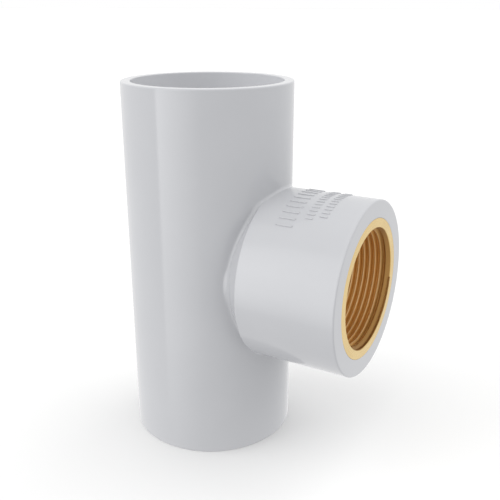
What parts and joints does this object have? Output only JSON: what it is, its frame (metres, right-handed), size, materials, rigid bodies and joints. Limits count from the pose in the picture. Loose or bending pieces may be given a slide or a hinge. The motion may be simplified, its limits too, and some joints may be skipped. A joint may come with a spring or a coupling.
{
  "type": "pvc tee fitting",
  "caption": "Irrigation tee: straight PVC run with a pipe socket at each end and a side branch that holds a threaded brass insert.",
  "frame": {"origin": "On the floor plane that the run stands on, under the middle of the bounding box. The run's axis is the vertical line x = -0.0188 m, y = 0, and the branch's axis is the line y = 0, z = 0.07445 m.", "axes": "+Z along the run's axis, upwards; +X along the branch's axis, out of its threaded face"},
  "size_m": [0.106, 0.0688, 0.1489],
  "materials": {
    "pvc": "light grey moulded, semi-gloss",
    "brass": "machined, bright",
    "rubber": "matt"
  },
  "bodies": {
    "root": {"tee_body": "pvc", "brass_insert": "brass", "outer_seal_ring": "rubber", "inner_seal_ring": "rubber"}
  },
  "joints": []
}
